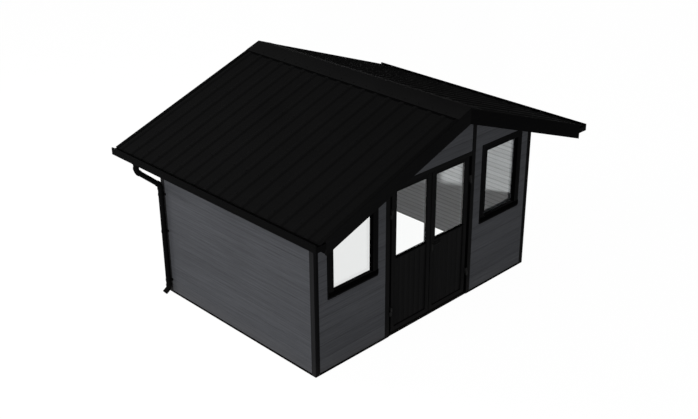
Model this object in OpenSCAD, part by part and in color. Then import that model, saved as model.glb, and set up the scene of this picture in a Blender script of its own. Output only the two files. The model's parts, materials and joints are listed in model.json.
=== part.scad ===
// Garden shed with a double door, two windows and a ridged steel roof.
// Millimetres. The front faces -Y, the ridge runs along Y, Z is up.
// The origin is on the ground at the centre of the whole outline, roof included.

/* [Building] */
// Width over the corner posts
shed_w = 4000; // [3840:10:4600]
// Depth over the corner posts
shed_d = 2900; // [2200:10:4200]
// Height of the ridge cap above the ground
ridge_h = 3005; // [2960:5:3300]
// Slope of both roof sides, in degrees
pitch = 20; // [18:0.5:22]

/* [Posts and walls] */
// Side of the square corner posts
post_w = 72; // [55:1:90]
// Thickness of the board walls
wall_t = 45; // [30:1:50]
// Distance from a post's face back to the wall's face
wall_recess = 5; // [2:1:10]
// Height of the base rail under the walls
rail_h = 25; // [18:1:36]

/* [Door] */
// Width of the gap between the two door posts
door_gap_w = 1504; // [1380:2:1560]
// Width of a door post's face
door_post_w = 70; // [50:1:90]
// Distance between a door post and the leaf beside it, for the hinges
hinge_space = 40; // [36:1:50]
// Height of a door leaf
leaf_h = 1967; // [1880:1:2000]
// Thickness of a door leaf
leaf_t = 40; // [35:1:44]
// Distance from a post's face back to the leaf's face
leaf_recess = 10; // [6:1:14]
// Air gap above, below and behind each closed leaf
leaf_gap = 8; // [7:0.5:10]
// Air gap between the two closed leaves
middle_gap = 10; // [9:0.5:14]
// Width of a leaf's sides beside its panel
stile_w = 60; // [50:1:90]
// Width of a leaf's sides beside its glass, with the glazing bead
glass_side_w = 82; // [60:1:110]
// Height of a leaf's top rail
top_rail_h = 45; // [35:1:90]
// Height of a leaf's bottom rail
bottom_rail_h = 60; // [40:1:120]
// Height of the bar between a leaf's glass and its panel
mid_rail_h = 28; // [20:1:80]
// Height of a leaf's glass
door_glass_h = 878; // [700:1:1000]
// Height of the threshold above the ground
sill_h = 40; // [36:1:44]
// Height of the door head above the leaves
head_h = 60; // [45:1:70]

/* [Windows] */
// Width over a window's frame
window_w = 822; // [600:1:840]
// Height over a window's frame
window_h = 1117; // [800:1:1130]
// Distance from the top of the side walls down to the windows' frames
window_drop = 51; // [20:1:300]
// Width of a window frame's upright sides
window_side_w = 88; // [55:1:95]
// Height of a window frame's top and bottom sides
window_rail_w = 86; // [60:1:110]
// Distance that a window frame stands out of the wall
window_proud = 15; // [8:1:25]
// Width by which a window frame laps over the wall round its hole
window_lap = 10; // [5:1:20]
// Thickness of all the glass
glass_t = 6; // [4:0.5:8]
// Thickness of the bead that holds a window's glass
bead_t = 8; // [5:0.5:12]

/* [Roof] */
// Distance from the front posts to the front edge of the roof
overhang_front = 550; // [300:5:700]
// Distance from the back posts to the back edge of the roof
overhang_back = 330; // [200:5:500]
// Distance from the side posts to the outer face of the fascia boards
overhang_side = 311; // [220:1:330]
// Distance from the fascia's face to the lower end of the roof sheet
sheet_drip = 84; // [50:1:100]
// Thickness of the roof sheet between its ribs
sheet_t = 20; // [12:1:30]
// Height of the roof sheet's ribs
rib_h = 14; // [8:1:20]
// Distance between the roof sheet's ribs
rib_pitch = 216.5; // [180:0.5:260]
// Width of a rib at its foot
rib_base = 95; // [70:1:110]
// Width of a rib at its crown
rib_crown = 35; // [20:1:50]
// Thickness of the ridge cap
cap_t = 4; // [2:0.5:6]
// Width of one side of the ridge cap, down the slope
cap_w = 235; // [180:1:320]
// Width of the flashing along the roof's front and back edges
verge_w = 45; // [35:1:46]
// Depth of the barge boards from the ridge's top, measured plumb
barge_drop = 202; // [185:1:240]
// Thickness of the barge boards and the fascia boards
board_t = 25; // [18:1:30]

/* [Roof timbers] */
// Width of the ridge beam
beam_w = 60; // [45:1:80]
// Depth of the ridge beam at its peak
beam_h = 140; // [120:1:150]
// Width of the middle purlins
purlin_w = 45; // [35:1:60]
// Depth of the middle purlins
purlin_h = 95; // [70:1:120]
// Distance between the ridge and the middle of a purlin
purlin_x = 1000; // [900:5:1100]
// Depth of the wall plates at their outer face
plate_h = 95; // [70:1:105]

/* [Rainwater] */
// Width of the gutter
gutter_w = 152; // [140:1:170]
// Height of the gutter's outer wall
gutter_h = 91; // [85:1:100]
// Height of the gutter's top above the underside of the roof at the fascia
gutter_rise = 8; // [0:1:12]
// Thickness of the gutter's walls
gutter_t = 3; // [2:0.5:4]
// Width of the lip along the gutter's outer wall
gutter_lip = 18; // [10:1:22]
// Outer diameter of the downpipes
pipe_d = 68; // [60:1:80]
// Distance between the back of the shed and the middle of a downpipe
pipe_inset = 50; // [45:1:80]
// Distance between a post's face and the downpipe beside it
pipe_clear = 11; // [8:1:20]
// Distance from the gutter's floor down to the neck's upper bend
neck_top = 150; // [120:5:200]
// Height lost along the sloping part of the downpipe's neck
neck_drop = 290; // [240:5:360]
// Radius of the downpipe's bends, at its middle
bend_r = 70; // [60:1:90]
// Height of the shoe's bend above the ground
shoe_z = 112; // [110:1:130]
// Length of the shoe's straight end
shoe_l = 62; // [25:1:70]
// Height of a pipe clip's band
clip_h = 25; // [18:1:35]
// Height of the lowest pipe clip above the ground
clip_low_z = 193; // [150:1:300]
// Height of the middle pipe clip above the ground
clip_mid_z = 922; // [700:1:1000]
// Distance from the neck's lower bend down to the top pipe clip
clip_drop = 89; // [50:1:150]

/* [Hardware] */
// Diameter of the hinge barrels
hinge_d = 18; // [14:1:20]
// Length of a hinge
hinge_l = 112; // [90:1:150]
// Distance from a door post's face out to the hinges' axis
hinge_proud = 12; // [10:1:16]
// Diameter of the hinge pins
hinge_pin_d = 9; // [6:0.5:10]
// Height of the lower hinges' middle above the ground
hinge_low_z = 360; // [250:5:500]
// Height of the upper hinges' middle above the ground
hinge_high_z = 1705; // [1500:5:1780]
// Height of the door handle above the ground
handle_z = 1030; // [950:5:1100]
// Length of the door handle's lever
lever_l = 105; // [80:1:120]

/* [Hidden] */
$fn = 48;
post_color = [0.05, 0.05, 0.055];
wall_color = [0.27, 0.275, 0.29];
roof_color = [0.07, 0.07, 0.075];
glass_color = [0.75, 0.8, 0.82, 0.35];
steel_color = [0.6, 0.6, 0.6];
timber_color = [0.2, 0.19, 0.18];

// Plan of the walls
half_w = shed_w / 2;
half_d = shed_d / 2;
wall_out = half_w - wall_recess;
wall_in = wall_out - wall_t;
front_y = -half_d;
wall_front = front_y + wall_recess;
wall_span_x = half_w - post_w;
wall_span_y = half_d - post_w;

// Roof: depths are measured square to the slope, down from the cap's top
pan_n = cap_t + rib_h;
soffit_n = pan_n + sheet_t;
seat = 0.1;
seat_n = soffit_n + seat;
roof_front = -half_d - overhang_front;
roof_back = half_d + overhang_back;
roof_l = roof_back - roof_front;
fascia_x = half_w + overhang_side;
crown_n = cap_t + seat;
sheet_start = soffit_n * tan(pitch) + 1;
sheet_end = (fascia_x + sheet_drip) / cos(pitch) + pan_n * tan(pitch);
inner_front = roof_front + board_t;
inner_back = roof_back - board_t;
side_top = roof_z(wall_out, seat_n) - plate_h;

// Door
door_half = door_gap_w / 2;
leaf_bottom = sill_h + leaf_gap;
leaf_top = leaf_bottom + leaf_h;
head_z = leaf_top + leaf_gap;
leaf_face = front_y + leaf_recess;
leaf_back = leaf_face + leaf_t;
leaf_inner_x = middle_gap / 2;
leaf_outer_x = door_half - hinge_space;
glass_z = leaf_top - top_rail_h - door_glass_h;
panel_z = leaf_bottom + bottom_rail_h;
panel_h = glass_z - mid_rail_h - panel_z;
door_glass_recess = 6;
panel_recess = 15;
panel_t = 15;
jamb_recess = 35;
stop_lap = 14;

// Hinges
hinge_x = (leaf_outer_x + door_half) / 2;
hinge_y = front_y - hinge_proud;
hinge_gap = 2;
hinge_bore_clear = 0.1;
hinge_plate_t = 5;
hinge_arm_w = 8;

// Windows
window_x = (door_half + door_post_w + wall_span_x) / 2;
window_z = side_top - window_drop - window_h;
window_front = wall_front - window_proud;
wall_back = wall_front + wall_t;
glass_w = window_w - 2 * window_side_w;
glass_h = window_h - 2 * window_rail_w;
bead_w = 8;

// Rainwater
gutter_top = roof_z(fascia_x, soffit_n) + gutter_rise;
gutter_floor = gutter_top - gutter_h;
pipe_y = half_d - pipe_inset;
pipe_x = half_w + pipe_clear + pipe_d / 2;
outlet_x = fascia_x + gutter_w * 0.42;
neck_angle = atan((outlet_x - pipe_x) / neck_drop);
neck_l = norm([outlet_x - pipe_x, neck_drop]);
bend_cut = bend_r * tan(neck_angle / 2);
collar_d = pipe_d + 10;
collar_l = 30;
collar_lap = 4;
shoe_angle = 55;
shoe_bend_r = 50;
neck_z = gutter_floor - neck_top;
wall_z = neck_z - neck_drop;
clip_heights = [clip_low_z, clip_mid_z, wall_z - bend_cut - clip_drop - clip_h];

// Middle of the walls, measured from the middle of the roof's outline
walls_y = (overhang_front - overhang_back) / 2;

// Height of a plane parallel to the roof's slope, n below the cap's top
function roof_z(x, n) = ridge_h - n / cos(pitch) - abs(x) * tan(pitch);

// Outline from x0 to x1 between a level floor and the slope n below the cap
function under_roof(x0, x1, floor_z, n) = concat(
    [[x0, floor_z], [x1, floor_z], [x1, roof_z(x1, n)]],
    x0 * x1 < 0 ? [[0, roof_z(0, n)]] : [],
    [[x0, roof_z(x0, n)]]);

// Extrudes an outline drawn in X and Z from y0 to y1
module along_y(y0, y1) {
    translate([0, y1, 0]) rotate([90, 0, 0]) linear_extrude(y1 - y0) children();
}

// Box from its lowest to its highest corner
module box(low, high) {
    translate(low) cube(high - low);
}

// Turns a right-hand piece into its left-hand twin
module left_hand() {
    mirror([1, 0, 0]) children();
}

module both_hands() {
    children();
    left_hand() children();
}

// Base, posts and walls

module base_rails() {
    color(post_color) {
        for (side = [-1, 1]) {
            box([side > 0 ? wall_in : -half_w, -wall_span_y, 0],
                [side > 0 ? half_w : -wall_in, wall_span_y, rail_h]);
        }
        box([-wall_span_x, half_d - wall_recess - wall_t, 0], [wall_span_x, half_d, rail_h]);
        box([-wall_span_x, front_y, 0], [-door_half - door_post_w, wall_back, rail_h]);
        box([door_half + door_post_w, front_y, 0], [wall_span_x, wall_back, rail_h]);
        box([-door_half, leaf_face - 2, 0], [door_half, front_y + post_w, sill_h]);
    }
}

// Corner post with a seat for the wall plate cut into its outer top corner
module corner_post(y0) {
    color(post_color) difference() {
        along_y(y0, y0 + post_w)
            polygon(under_roof(wall_span_x, half_w, 0, seat_n));
        box([wall_in, y0 - 1, side_top], [half_w + 1, y0 + post_w + 1, ridge_h]);
    }
}

module post_front_right() corner_post(-half_d);
module post_back_right() corner_post(half_d - post_w);
module post_front_left() left_hand() post_front_right();
module post_back_left() left_hand() post_back_right();

// Door post with its set-back jamb and the stop behind the leaf
module door_post_right() {
    jamb_x = leaf_outer_x + leaf_gap;
    stop_y = leaf_back + leaf_gap;
    color(post_color) {
        along_y(front_y, front_y + post_w)
            polygon(under_roof(door_half, door_half + door_post_w, 0, seat_n));
        box([jamb_x, front_y + jamb_recess, sill_h], [door_half, stop_y, head_z]);
        box([leaf_outer_x - stop_lap, stop_y, sill_h],
            [door_half, front_y + post_w, head_z]);
    }
}

module door_post_left() left_hand() door_post_right();

module door_head() {
    stop_y = leaf_back + leaf_gap;
    stop_x = leaf_outer_x - stop_lap;
    color(post_color) {
        box([-door_half, front_y, head_z], [door_half, front_y + post_w, head_z + head_h]);
        box([-stop_x, stop_y, leaf_top - stop_lap], [stop_x, front_y + post_w, head_z]);
    }
}

module side_wall() {
    color(wall_color)
        box([wall_in, -wall_span_y, rail_h], [wall_out, wall_span_y, side_top]);
}

module right_wall() side_wall();
module left_wall() left_hand() side_wall();

// Places in a gable wall for the beams that run through it
module beam_pockets(y0, y1) {
    both_hands() along_y(y0, y1) purlin_outline(2);
    along_y(y0, y1) beam_outline(2);
}

module back_wall() {
    y1 = half_d - wall_recess;
    color(wall_color) difference() {
        along_y(y1 - wall_t, y1)
            polygon(under_roof(-wall_span_x, wall_span_x, rail_h, seat_n));
        beam_pockets(y1 - wall_t - 1, y1 + 1);
    }
}

module front_wall_right() {
    color(wall_color) difference() {
        along_y(wall_front, wall_back)
            polygon(under_roof(door_half + door_post_w, wall_span_x, rail_h, seat_n));
        beam_pockets(wall_front - 1, wall_back + 1);
        window_block(window_lap, wall_front - 1, wall_back + 1);
    }
}

module front_wall_left() left_hand() front_wall_right();

module front_gable() {
    color(wall_color) difference() {
        along_y(wall_front, wall_back)
            polygon(under_roof(-door_half, door_half, head_z + head_h, seat_n));
        beam_pockets(wall_front - 1, wall_back + 1);
    }
}

// Windows

// Block as large as the right window's frame, less a margin all round
module window_block(margin, y0, y1) {
    x0 = window_x - window_w / 2 + margin;
    box([x0, y0, window_z + margin],
        [x0 + window_w - 2 * margin, y1, window_z + window_h - margin]);
}

// Block as large as the right window's glass, less a margin all round
module glass_block(margin, y0, y1) {
    x0 = window_x - glass_w / 2 + margin;
    z0 = window_z + window_rail_w + margin;
    box([x0, y0, z0], [x0 + glass_w - 2 * margin, y1, z0 + glass_h - 2 * margin]);
}

module right_window_frame() {
    color(post_color) difference() {
        union() {
            window_block(0, window_front, wall_front);
            window_block(window_lap, wall_front, wall_back);
        }
        glass_block(0, window_front - 1, wall_back + 1);
    }
}

module right_window_bead() {
    y1 = wall_back - glass_t;
    color(post_color) difference() {
        glass_block(0, y1 - bead_t, y1);
        glass_block(bead_w, y1 - bead_t - 1, y1 + 1);
    }
}

module right_window_glass() {
    color(glass_color) glass_block(0, wall_back - glass_t, wall_back);
}

module left_window_frame() left_hand() right_window_frame();
module left_window_bead() left_hand() right_window_bead();
module left_window_glass() left_hand() right_window_glass();

// Door leaves

// Block in the right leaf between two sides of the width side_w
module leaf_filling(side_w, y0, y1, z0, h) {
    box([leaf_inner_x + side_w, y0, z0], [leaf_outer_x - side_w, y1, z0 + h]);
}

module right_leaf_frame() {
    color(post_color) difference() {
        box([leaf_inner_x, leaf_face, leaf_bottom], [leaf_outer_x, leaf_back, leaf_top]);
        leaf_filling(stile_w, leaf_face - 1, leaf_back + 1, panel_z, panel_h);
        leaf_filling(glass_side_w, leaf_face - 1, leaf_back + 1, glass_z, door_glass_h);
    }
}

module right_leaf_panel() {
    y0 = leaf_face + panel_recess;
    color(post_color) leaf_filling(stile_w, y0, min(y0 + panel_t, leaf_back), panel_z, panel_h);
}

module right_leaf_glass() {
    y0 = leaf_face + door_glass_recess;
    color(glass_color) leaf_filling(glass_side_w, y0, y0 + glass_t, glass_z, door_glass_h);
}

module left_leaf_frame() left_hand() right_leaf_frame();
module left_leaf_panel() left_hand() right_leaf_panel();
module left_leaf_glass() left_hand() right_leaf_glass();

// Hinges and handle

module barrel(z0, h, d) {
    translate([hinge_x, hinge_y, z0]) cylinder(d = d, h = h);
}

// Fixed half of a right-hand hinge: lower barrel, pin and a leaf on the post's side
module hinge_fixed(z) {
    low = z - hinge_l / 2;
    half = hinge_l / 2 - hinge_gap / 2;
    barrel(low, half, hinge_d);
    barrel(low, hinge_l, hinge_pin_d);
    difference() {
        box([hinge_x, hinge_y - hinge_arm_w / 2, low],
            [door_half, hinge_y + hinge_arm_w / 2, low + half]);
        barrel(low - 1, half + 2, hinge_pin_d);
    }
    box([door_half - hinge_plate_t, hinge_y, low],
        [door_half, front_y + jamb_recess, low + half]);
}

// Moving half of a right-hand hinge: upper barrel and a leaf on the door's edge
module hinge_moving(z) {
    low = z + hinge_gap / 2;
    half = hinge_l / 2 - hinge_gap / 2;
    difference() {
        union() {
            barrel(low, half, hinge_d);
            box([leaf_outer_x, hinge_y - hinge_arm_w / 2, low],
                [hinge_x, hinge_y + hinge_arm_w / 2, low + half]);
        }
        barrel(low - 1, half + 2, hinge_pin_d + 2 * hinge_bore_clear);
    }
    box([leaf_outer_x, hinge_y, low],
        [leaf_outer_x + hinge_plate_t, front_y + jamb_recess - 8, low + half]);
}

module hinge_pins() {
    color(steel_color) both_hands() {
        hinge_fixed(hinge_low_z);
        hinge_fixed(hinge_high_z);
    }
}

module right_leaf_hinges() {
    color(steel_color) {
        hinge_moving(hinge_low_z);
        hinge_moving(hinge_high_z);
    }
}

module left_leaf_hinges() left_hand() right_leaf_hinges();

// Lever handle with its plate, outside and inside, on the right leaf
module lever_set(y_face, dir) {
    x = leaf_inner_x + stile_w / 2;
    plate_w = 36;
    plate_l = 170;
    plate_t = 8;
    neck_out = 46;
    lever_d = 18;
    far = y_face + dir * neck_out;
    box([x - plate_w / 2, min(y_face, y_face + dir * plate_t), handle_z - plate_l * 0.65],
        [x + plate_w / 2, max(y_face, y_face + dir * plate_t), handle_z + plate_l * 0.35]);
    translate([x, min(y_face, far), handle_z]) rotate([-90, 0, 0])
        cylinder(d = lever_d, h = neck_out);
    translate([x, far, handle_z]) sphere(d = lever_d);
    translate([x, far, handle_z]) rotate([0, 90, 0]) cylinder(d = lever_d, h = lever_l);
}

module door_handle() {
    color(post_color) {
        lever_set(leaf_face, -1);
        lever_set(leaf_back, 1);
    }
}

// Roof timbers

// Outline of the right purlin, made higher by the extra
module purlin_outline(extra = 0) {
    x0 = purlin_x - purlin_w / 2;
    floor_z = roof_z(purlin_x, seat_n) - purlin_h;
    polygon(under_roof(x0, x0 + purlin_w, floor_z, seat_n - extra));
}

// Outline of the ridge beam, made higher by the extra
module beam_outline(extra = 0) {
    floor_z = roof_z(0, seat_n) - beam_h;
    polygon(under_roof(-beam_w / 2, beam_w / 2, floor_z, seat_n - extra));
}

module purlins() {
    color(timber_color) both_hands() along_y(inner_front, inner_back) purlin_outline();
}

module ridge_beam() {
    color(timber_color) along_y(inner_front, inner_back) beam_outline();
}

module wall_plates() {
    color(timber_color) both_hands() along_y(inner_front, inner_back)
        polygon(under_roof(wall_in, wall_out, side_top, seat_n));
}

// Roof covering

// Puts a piece drawn with X down the slope and Z square to it on the right side
module on_slope() {
    translate([0, 0, ridge_h]) rotate([0, pitch, 0]) children();
}

// Middle of each rib, measured from the front edge of the roof
rib_count = floor((roof_l - verge_w - rib_base / 2 - 1) / rib_pitch);

function rib_points(y) = [[y - rib_base / 2, -pan_n], [y - rib_crown / 2, -crown_n],
    [y + rib_crown / 2, -crown_n], [y + rib_base / 2, -pan_n]];

module roof_right() {
    ribs = [for (k = [rib_count:-1:1]) let (p = rib_points(roof_front + k * rib_pitch))
        for (j = [3:-1:0]) p[j]];
    y0 = inner_front + seat;
    y1 = inner_back - seat;
    outline = concat([[y0, -pan_n], [y0, -soffit_n], [y1, -soffit_n], [y1, -pan_n]], ribs);
    color(roof_color) on_slope() translate([sheet_start, 0, 0]) rotate([90, 0, 90])
        linear_extrude(sheet_end - sheet_start) polygon(outline);
}

module roof_left() left_hand() roof_right();

module ridge_cap() {
    end_x = cap_w * cos(pitch);
    end_z = ridge_h - cap_w * sin(pitch);
    in_x = end_x - cap_t * sin(pitch);
    in_z = end_z - cap_t * cos(pitch);
    color(roof_color) along_y(roof_front, roof_back)
        polygon([[0, ridge_h], [end_x, end_z], [in_x, in_z], [0, ridge_h - cap_t / cos(pitch)],
            [-in_x, in_z], [-end_x, end_z]]);
}

module verge_flashing() {
    color(roof_color) both_hands() on_slope()
        for (y = [roof_front, roof_back - verge_w])
            box([sheet_start, y, -pan_n + seat], [sheet_end, y + verge_w, -crown_n]);
}

module bargeboards_right() {
    outline = [[0, ridge_h - barge_drop], [fascia_x, ridge_h - barge_drop - fascia_x * tan(pitch)],
        [fascia_x, roof_z(fascia_x, pan_n)], [0, roof_z(0, pan_n)]];
    color(roof_color) for (y = [roof_front, roof_back - board_t])
        along_y(y, y + board_t) polygon(outline);
}

module bargeboards_left() left_hand() bargeboards_right();

module fascias() {
    fascia_cover = 13;
    floor_z = ridge_h - barge_drop - fascia_x * tan(pitch) + fascia_cover;
    color(roof_color) both_hands() along_y(inner_front, inner_back)
        polygon(under_roof(fascia_x - board_t, fascia_x, floor_z, seat_n));
}

// Rainwater

module gutter_right() {
    x1 = fascia_x + gutter_w;
    back_h = 70;
    color(roof_color) difference() {
        box([fascia_x, roof_front, gutter_floor], [x1, roof_back, gutter_top]);
        box([fascia_x + gutter_t, roof_front + gutter_t, gutter_floor + gutter_t],
            [x1 - gutter_t, roof_back - gutter_t, gutter_top - gutter_t]);
        box([fascia_x - 1, roof_front - 1, gutter_floor + back_h],
            [x1 - gutter_lip, roof_back + 1, gutter_top + 1]);
    }
}

module gutter_left() left_hand() gutter_right();

// Bend that starts at the origin, goes down and turns towards +X
module bend(r, angle) {
    translate([r, 0, 0]) rotate([90, 0, 0]) rotate([0, 0, 180])
        rotate_extrude(angle = angle) translate([r, 0]) circle(d = pipe_d);
}

// Collar that laps over the start of the bend below it
module collar(z) {
    translate([0, 0, z - collar_lap]) cylinder(d = collar_d, h = collar_l);
}

// Straight pipe with a collar at each end
module straight(l) {
    cylinder(d = pipe_d, h = l);
    collar(0);
    collar(l + 2 * collar_lap - collar_l);
}

module downpipe_right() {
    outlet_l = 45;
    mouth_depth = 20;
    mouth_wall = 4;
    color(roof_color) translate([0, pipe_y, 0]) {
        translate([outlet_x, 0, gutter_floor - outlet_l]) cylinder(d = collar_d, h = outlet_l);
        translate([outlet_x, 0, neck_z + bend_cut]) {
            cylinder(d = pipe_d, h = neck_top - bend_cut);
            collar(0);
            mirror([1, 0, 0]) bend(bend_r, neck_angle);
        }
        translate([pipe_x + bend_cut * sin(neck_angle), 0, wall_z + bend_cut * cos(neck_angle)])
            rotate([0, neck_angle, 0]) straight(neck_l - 2 * bend_cut);
        translate([pipe_x, 0, wall_z - bend_cut]) rotate([180, 0, 0]) bend(bend_r, neck_angle);
        translate([pipe_x, 0, shoe_z]) {
            straight(wall_z - bend_cut - shoe_z);
            bend(shoe_bend_r, shoe_angle);
        }
        translate([pipe_x + shoe_bend_r * (1 - cos(shoe_angle)), 0,
            shoe_z - shoe_bend_r * sin(shoe_angle)]) rotate([0, 180 - shoe_angle, 0])
            difference() {
                translate([0, 0, -collar_lap])
                    cylinder(d = pipe_d + mouth_wall, h = shoe_l + collar_lap);
                translate([0, 0, shoe_l - mouth_depth])
                    cylinder(d = pipe_d - mouth_wall, h = mouth_depth + 1);
            }
    }
}

module downpipe_left() left_hand() downpipe_right();

// Bands round the downpipes, each with a plate on the post behind it
module pipe_clips() {
    band_t = 4;
    plate_w = 94;
    plate_t = pipe_clear - band_t / 2;
    color(post_color) both_hands() for (z = clip_heights) difference() {
        union() {
            translate([pipe_x, pipe_y, z]) cylinder(d = pipe_d + 2 * band_t, h = clip_h);
            box([half_w, pipe_y - plate_w / 2, z], [half_w + plate_t, half_d, z + clip_h]);
        }
        translate([pipe_x, pipe_y, z - 1]) cylinder(d = pipe_d + 2 * seat, h = clip_h + 2);
    }
}

module placed() {
    translate([0, walls_y, 0]) children();
}

placed() base_rails();
placed() post_front_left();
placed() post_front_right();
placed() post_back_left();
placed() post_back_right();
placed() door_post_left();
placed() door_post_right();
placed() door_head();
placed() left_wall();
placed() right_wall();
placed() back_wall();
placed() front_wall_left();
placed() front_wall_right();
placed() front_gable();
placed() left_window_frame();
placed() left_window_bead();
placed() left_window_glass();
placed() right_window_frame();
placed() right_window_bead();
placed() right_window_glass();
placed() left_leaf_frame();
placed() left_leaf_panel();
placed() left_leaf_glass();
placed() right_leaf_frame();
placed() right_leaf_panel();
placed() right_leaf_glass();
placed() hinge_pins();
placed() left_leaf_hinges();
placed() right_leaf_hinges();
placed() door_handle();
placed() wall_plates();
placed() purlins();
placed() ridge_beam();
placed() roof_left();
placed() roof_right();
placed() ridge_cap();
placed() verge_flashing();
placed() bargeboards_left();
placed() bargeboards_right();
placed() fascias();
placed() gutter_left();
placed() gutter_right();
placed() downpipe_left();
placed() downpipe_right();
placed() pipe_clips();
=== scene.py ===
import json
import math

import bmesh
import bpy
from mathutils import Matrix, Vector

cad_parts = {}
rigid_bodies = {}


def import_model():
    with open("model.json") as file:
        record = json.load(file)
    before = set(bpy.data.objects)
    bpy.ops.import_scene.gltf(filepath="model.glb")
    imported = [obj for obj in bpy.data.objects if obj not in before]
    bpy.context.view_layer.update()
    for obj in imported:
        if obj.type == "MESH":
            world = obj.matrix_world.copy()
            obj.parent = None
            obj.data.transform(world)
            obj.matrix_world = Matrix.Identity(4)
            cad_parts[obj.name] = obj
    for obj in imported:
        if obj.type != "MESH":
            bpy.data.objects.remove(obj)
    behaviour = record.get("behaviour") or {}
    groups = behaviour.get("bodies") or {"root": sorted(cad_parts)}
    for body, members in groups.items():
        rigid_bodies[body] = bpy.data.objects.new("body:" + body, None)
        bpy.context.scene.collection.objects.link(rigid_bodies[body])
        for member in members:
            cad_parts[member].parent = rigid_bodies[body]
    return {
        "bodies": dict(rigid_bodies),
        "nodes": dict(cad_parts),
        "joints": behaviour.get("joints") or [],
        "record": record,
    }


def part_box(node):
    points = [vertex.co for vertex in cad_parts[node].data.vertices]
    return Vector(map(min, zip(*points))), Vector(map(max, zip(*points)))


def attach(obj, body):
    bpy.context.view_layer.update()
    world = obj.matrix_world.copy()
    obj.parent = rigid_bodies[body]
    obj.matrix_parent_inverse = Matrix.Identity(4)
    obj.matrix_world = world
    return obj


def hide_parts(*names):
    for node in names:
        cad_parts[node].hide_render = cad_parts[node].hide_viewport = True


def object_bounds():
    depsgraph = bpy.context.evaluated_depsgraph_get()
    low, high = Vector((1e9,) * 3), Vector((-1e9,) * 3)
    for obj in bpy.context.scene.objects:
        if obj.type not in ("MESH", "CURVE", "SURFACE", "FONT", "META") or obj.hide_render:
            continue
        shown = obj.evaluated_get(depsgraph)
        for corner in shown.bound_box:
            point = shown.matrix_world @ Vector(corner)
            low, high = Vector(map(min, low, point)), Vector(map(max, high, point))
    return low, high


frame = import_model()
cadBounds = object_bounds()
scene = bpy.context.scene
cadNodes = frame["nodes"]

cameraView = {
    "place": (-8.8906, -8.9447, 7.1763),
    "lookDown": 25.073,
    "turn": 45.155,
    "lens": 53.91,
    "shift": (-0.01734, -0.02062),
}


def makeCamera(view):
    data = bpy.data.cameras.new("shedCamera")
    data.lens = view["lens"]
    data.shift_x, data.shift_y = view["shift"]
    data.clip_end = 200
    camera = bpy.data.objects.new("shedCamera", data)
    camera.location = view["place"]
    camera.rotation_euler = (math.radians(90 - view["lookDown"]), 0, math.radians(-view["turn"]))
    scene.collection.objects.link(camera)
    scene.camera = camera


makeCamera(cameraView)
print("camera placed")


def addNode(tree, kind, inputs=None, **settings):
    node = tree.nodes.new(kind)
    for name, value in settings.items():
        setattr(node, name, value)
    for name, value in (inputs or {}).items():
        if isinstance(value, bpy.types.NodeSocket):
            tree.links.new(value, node.inputs[name])
        else:
            node.inputs[name].default_value = value
    return node


def calculate(tree, operation, first, second=None, third=None, clamp=False):
    values = {0: first}
    if second is not None:
        values[1] = second
    if third is not None:
        values[2] = third
    node = addNode(tree, "ShaderNodeMath", values, operation=operation, use_clamp=clamp)
    return node.outputs[0]


def mixColours(tree, mask, first, second, blend="MIX"):
    node = addNode(tree, "ShaderNodeMix", data_type="RGBA", blend_type=blend)
    for index, value in ((0, mask), (6, first), (7, second)):
        if isinstance(value, bpy.types.NodeSocket):
            tree.links.new(value, node.inputs[index])
        else:
            node.inputs[index].default_value = value
    return node.outputs[2]


def newGroup(name, inputs, outputs):
    group = bpy.data.node_groups.new(name, "ShaderNodeTree")
    for label, kind, value in inputs:
        socket = group.interface.new_socket(label, in_out="INPUT", socket_type=kind)
        if value is not None:
            socket.default_value = value
    for label, kind in outputs:
        group.interface.new_socket(label, in_out="OUTPUT", socket_type=kind)
    start = group.nodes.new("NodeGroupInput")
    end = group.nodes.new("NodeGroupOutput")
    return group, start.outputs, end.inputs


def useGroup(tree, group, inputs):
    node = tree.nodes.new("ShaderNodeGroup")
    node.node_tree = group
    for name, value in inputs.items():
        if isinstance(value, bpy.types.NodeSocket):
            tree.links.new(value, node.inputs[name])
        else:
            node.inputs[name].default_value = value
    return node.outputs


def newMaterial(name, roughness, specular):
    material = bpy.data.materials.new(name)
    material.use_nodes = True
    tree = material.node_tree
    shader = tree.nodes["Principled BSDF"]
    shader.inputs["Roughness"].default_value = roughness
    shader.inputs["Specular IOR Level"].default_value = specular
    place = addNode(tree, "ShaderNodeTexCoord").outputs["Object"]
    return material, tree, shader, place


def makeGrainGroup():
    # streaks along a board, a fine fibre on top of them and a slow change of tone
    group, given, made = newGroup(
        "boardGrain",
        [("Vector", "NodeSocketVector", None), ("Stretch", "NodeSocketVector", (1, 1, 1)),
         ("Fineness", "NodeSocketFloat", 1.0)],
        [("Streaks", "NodeSocketFloat"), ("Fibre", "NodeSocketFloat"), ("Patches", "NodeSocketFloat")])
    stretched = addNode(group, "ShaderNodeVectorMath",
                        {0: given["Vector"], 1: given["Stretch"]}, operation="MULTIPLY").outputs[0]
    finer = addNode(group, "ShaderNodeVectorMath", {0: stretched, "Scale": given["Fineness"]},
                    operation="SCALE").outputs[0]
    streaks = addNode(group, "ShaderNodeTexNoise", {"Vector": finer, "Scale": 1.0, "Detail": 4.0,
                                                    "Roughness": 0.62, "Distortion": 0.25})
    fibre = addNode(group, "ShaderNodeTexNoise", {"Vector": finer, "Scale": 5.5, "Detail": 3.0,
                                                  "Roughness": 0.7})
    patches = addNode(group, "ShaderNodeTexNoise", {"Vector": given["Vector"], "Scale": 1.1,
                                                    "Detail": 2.0})
    group.links.new(streaks.outputs["Fac"], made["Streaks"])
    group.links.new(fibre.outputs["Fac"], made["Fibre"])
    group.links.new(patches.outputs["Fac"], made["Patches"])
    return group


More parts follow.
